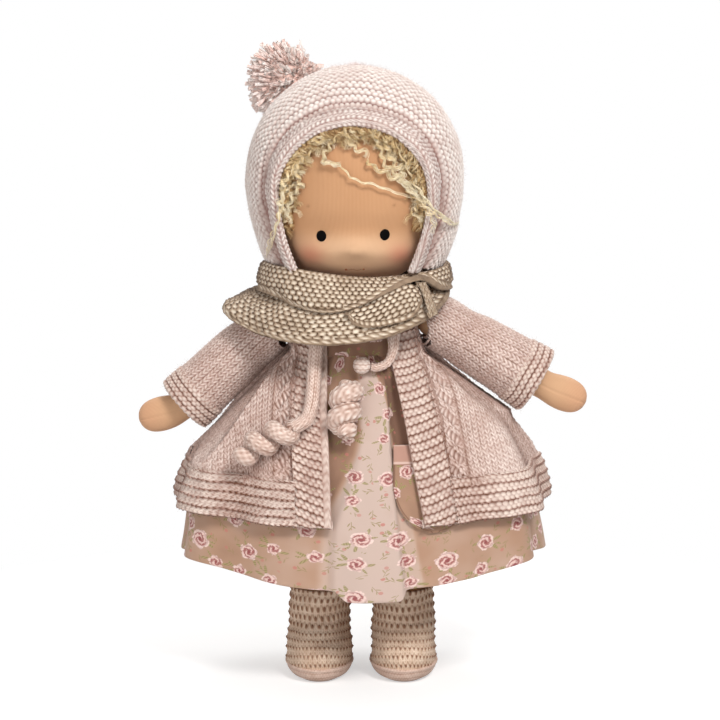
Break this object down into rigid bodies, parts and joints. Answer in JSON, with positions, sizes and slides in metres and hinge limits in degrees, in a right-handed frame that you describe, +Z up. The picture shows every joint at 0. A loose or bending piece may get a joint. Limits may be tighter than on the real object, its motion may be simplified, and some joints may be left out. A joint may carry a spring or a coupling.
{
  "type": "waldorf doll",
  "caption": "Soft standing rag doll with turning head, swinging arms and legs, knitted bonnet with pompom, scarf, cardigan, printed dress with pocket and knitted boots.",
  "frame": {"origin": "on the floor, below the middle of the doll measured without the neck ties", "axes": "+Z up, -Y the way the doll faces, +X to the right of a viewer who faces the doll"},
  "size_m": [0.2768, 0.154, 0.3893],
  "materials": {
    "skin": "matt stretch cotton",
    "neck_thread": "twisted thread",
    "eye_thread": "satin embroidery thread",
    "mouth_thread": "embroidery thread",
    "mohair": "curled mohair",
    "bonnet_wool": "garter stitch wool",
    "pompom_wool": "cut wool",
    "scarf_wool": "garter stitch wool",
    "cardigan_wool": "stocking stitch mohair and wool",
    "tie_wool": "knitted cord",
    "calico": "printed cotton",
    "boot_cotton": "openwork knit",
    "sole_cotton": "rib knit"
  },
  "bodies": {
    "torso": {"torso": "skin", "dress_bodice": "calico", "dress_skirt": "calico", "pocket_band": "calico", "pocket": "calico", "cardigan_back": "cardigan_wool", "cardigan_front_left": "cardigan_wool", "front_band_left": "cardigan_wool", "cardigan_front_right": "cardigan_wool", "front_band_right": "cardigan_wool", "hem_band": "cardigan_wool", "scarf_lower": "scarf_wool", "scarf_upper": "scarf_wool", "scarf_tab": "scarf_wool", "scarf_loop": "scarf_wool", "tie_left": "tie_wool", "tie_right": "tie_wool", "tie_knot": "tie_wool", "tie_curl_left": "tie_wool", "tie_curl_right": "tie_wool"},
    "head": {"head": "skin", "neck_thread": "neck_thread", "eye_left": "eye_thread", "eye_right": "eye_thread", "mouth_stitch": "mouth_thread", "bonnet": "bonnet_wool", "bonnet_edge_band": "bonnet_wool", "pompom": "pompom_wool", "wig": "mohair"},
    "arm_left": {"arm_left": "skin", "sleeve_left": "cardigan_wool", "cuff_left": "cardigan_wool"},
    "arm_right": {"arm_right": "skin", "sleeve_right": "cardigan_wool", "cuff_right": "cardigan_wool"},
    "leg_left": {"leg_left": "skin", "boot_sole_left": "sole_cotton", "boot_left": "boot_cotton"},
    "leg_right": {"leg_right": "skin", "boot_sole_right": "sole_cotton", "boot_right": "boot_cotton"}
  },
  "joints": [
    {"name": "head_turn", "type": "hinge", "parent": "torso", "child": "head", "pos_m": [-0.00421, 0.00123, 0.239], "axis": [0, 0, 1], "range_deg": [-30, 30]},
    {"name": "arm_left_swing", "type": "hinge", "parent": "torso", "child": "arm_left", "pos_m": [-0.05221, 0.00123, 0.219], "axis": [0, 0, 1], "range_deg": [-20, 35]},
    {"name": "arm_right_swing", "type": "hinge", "parent": "torso", "child": "arm_right", "pos_m": [0.04379, 0.00123, 0.219], "axis": [0, 0, -1], "range_deg": [-20, 35]},
    {"name": "leg_left_swing", "type": "hinge", "parent": "torso", "child": "leg_left", "pos_m": [-0.02621, 0.00123, 0.12], "axis": [-1, 0, 0], "range_deg": [-25, 25]},
    {"name": "leg_right_swing", "type": "hinge", "parent": "torso", "child": "leg_right", "pos_m": [0.02579, 0.00123, 0.12], "axis": [-1, 0, 0], "range_deg": [-25, 25]}
  ]
}
